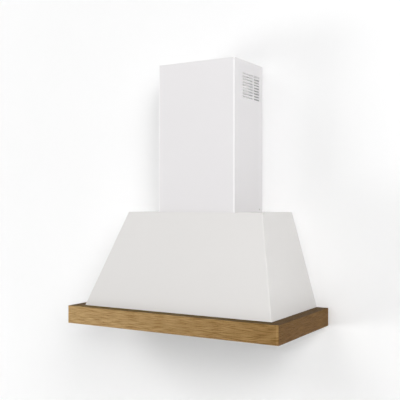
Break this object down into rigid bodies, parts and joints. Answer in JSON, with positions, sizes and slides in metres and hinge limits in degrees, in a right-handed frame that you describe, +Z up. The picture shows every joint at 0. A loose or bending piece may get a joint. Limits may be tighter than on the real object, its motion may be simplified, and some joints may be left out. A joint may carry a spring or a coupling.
{
  "type": "wall-mounted range hood",
  "caption": "Wall-mounted range hood: tapered white sheet-metal canopy with an oak band round its foot, a box-shaped vented chimney, and baffle filters, lamps and push buttons below.",
  "frame": {"origin": "on the wall plane, in the middle of the width, level with the underside of the oak band", "axes": "+Z up along the chimney, +Y into the wall, +X to the right as seen from the front"},
  "size_m": [1, 0.51, 1.13],
  "materials": {
    "canopy_paint": "smooth satin white powder coat",
    "chimney_paint": "smooth satin white powder coat",
    "oak_front": "fine straight-grained oak, clear matt oil",
    "oak_side": "darker oak, clear matt oil",
    "liner_steel": "brushed stainless sheet",
    "filter_steel": "brushed stainless baffles",
    "galvanised": "galvanised sheet with a faint spangle",
    "zinc_screws": "bright zinc plate",
    "shaft_steel": "ground steel",
    "motor_black": "satin black enamel",
    "casting": "cast aluminium",
    "rubber": "soft black rubber",
    "black_plastic": "matt moulded plastic",
    "white_plastic": "off-white moulded plastic",
    "button_steel": "spun metal caps",
    "circuit_board": "green circuit board",
    "lamp_glass": "frosted glass",
    "lead_sheath": "black round sheath"
  },
  "bodies": {
    "root": {"canopy_shell": "canopy_paint", "canopy_top": "canopy_paint", "back_panel": "galvanised", "liner_panel": "liner_steel", "liner_screws": "zinc_screws", "front_rail": "oak_front", "left_rail": "oak_side", "right_rail": "oak_side", "rail_screws": "zinc_screws", "corner_plates": "galvanised", "corner_plate_screws": "zinc_screws", "chimney_cover": "chimney_paint", "chimney_feet": "galvanised", "chimney_foot_screws": "zinc_screws", "outlet_collar": "black_plastic", "collar_screws": "zinc_screws", "damper_pin": "shaft_steel", "blower_wrap": "galvanised", "blower_side_left": "galvanised", "blower_side_right": "galvanised", "blower_gasket": "rubber", "blower_screws": "zinc_screws", "motor_body": "motor_black", "motor_spider": "casting", "motor_grommets": "rubber", "motor_screws": "zinc_screws", "capacitor": "white_plastic", "junction_box": "black_plastic", "terminal_block": "white_plastic", "cable_gland": "black_plastic", "control_box": "black_plastic", "control_board": "circuit_board", "control_bezel": "liner_steel", "lamp_bezels": "button_steel", "lamp_lenses": "lamp_glass", "lamp_housings": "casting", "control_lead": "lead_sheath", "motor_lead": "lead_sheath", "lamp_leads": "lead_sheath"},
    "extension": {"chimney_extension": "chimney_paint", "chimney_bracket": "chimney_paint", "bracket_screws": "zinc_screws"},
    "damper_front": {"damper_flap_front": "black_plastic"},
    "damper_rear": {"damper_flap_rear": "black_plastic"},
    "impeller": {"impeller_wheel": "galvanised", "motor_shaft": "shaft_steel"},
    "button_light": {"button_light": "button_steel"},
    "button_off": {"button_off": "button_steel"},
    "button_speed_1": {"button_speed_1": "button_steel"},
    "button_speed_2": {"button_speed_2": "button_steel"},
    "button_speed_3": {"button_speed_3": "button_steel"},
    "filter_left": {"filter_frame_left": "filter_steel", "filter_baffles_left": "filter_steel"},
    "latch_left": {"filter_latch_left": "black_plastic"},
    "filter_middle": {"filter_frame_middle": "filter_steel", "filter_baffles_middle": "filter_steel"},
    "latch_middle": {"filter_latch_middle": "black_plastic"},
    "filter_right": {"filter_frame_right": "filter_steel", "filter_baffles_right": "filter_steel"},
    "latch_right": {"filter_latch_right": "black_plastic"}
  },
  "joints": [
    {"name": "extension_slide", "type": "slide", "parent": "root", "child": "extension", "axis": [0, 0, 1], "range_m": [0, 0.4]},
    {"name": "damper_front_swing", "type": "hinge", "parent": "root", "child": "damper_front", "pos_m": [0, -0.1325, 0.491], "axis": [-1, 0, 0], "range_deg": [0, 75]},
    {"name": "damper_rear_swing", "type": "hinge", "parent": "root", "child": "damper_rear", "pos_m": [0, -0.1325, 0.491], "axis": [1, 0, 0], "range_deg": [0, 75]},
    {"name": "impeller_spin", "type": "hinge", "parent": "root", "child": "impeller", "pos_m": [0, -0.2075, 0.32], "axis": [1, 0, 0], "continuous": true},
    {"name": "button_light_press", "type": "slide", "parent": "root", "child": "button_light", "axis": [0, 0, 1], "range_m": [0, 0.002], "stiffness_N_per_m": 300},
    {"name": "button_off_press", "type": "slide", "parent": "root", "child": "button_off", "axis": [0, 0, 1], "range_m": [0, 0.002], "stiffness_N_per_m": 300},
    {"name": "button_speed_1_press", "type": "slide", "parent": "root", "child": "button_speed_1", "axis": [0, 0, 1], "range_m": [0, 0.002], "stiffness_N_per_m": 300},
    {"name": "button_speed_2_press", "type": "slide", "parent": "root", "child": "button_speed_2", "axis": [0, 0, 1], "range_m": [0, 0.002], "stiffness_N_per_m": 300},
    {"name": "button_speed_3_press", "type": "slide", "parent": "root", "child": "button_speed_3", "axis": [0, 0, 1], "range_m": [0, 0.002], "stiffness_N_per_m": 300},
    {"name": "filter_left_swing", "type": "hinge", "parent": "root", "child": "filter_left", "pos_m": [-0.282, -0.0295, 0.0118], "axis": [1, 0, 0], "range_deg": [0, 75]},
    {"name": "latch_left_slide", "type": "slide", "parent": "filter_left", "child": "latch_left", "axis": [0, 1, 0], "range_m": [0, 0.003], "stiffness_N_per_m": 400},
    {"name": "filter_middle_swing", "type": "hinge", "parent": "root", "child": "filter_middle", "pos_m": [0, -0.0295, 0.0118], "axis": [1, 0, 0], "range_deg": [0, 75]},
    {"name": "latch_middle_slide", "type": "slide", "parent": "filter_middle", "child": "latch_middle", "axis": [0, 1, 0], "range_m": [0, 0.003], "stiffness_N_per_m": 400},
    {"name": "filter_right_swing", "type": "hinge", "parent": "root", "child": "filter_right", "pos_m": [0.282, -0.0295, 0.0118], "axis": [1, 0, 0], "range_deg": [0, 75]},
    {"name": "latch_right_slide", "type": "slide", "parent": "filter_right", "child": "latch_right", "axis": [0, 1, 0], "range_m": [0, 0.003], "stiffness_N_per_m": 400}
  ]
}
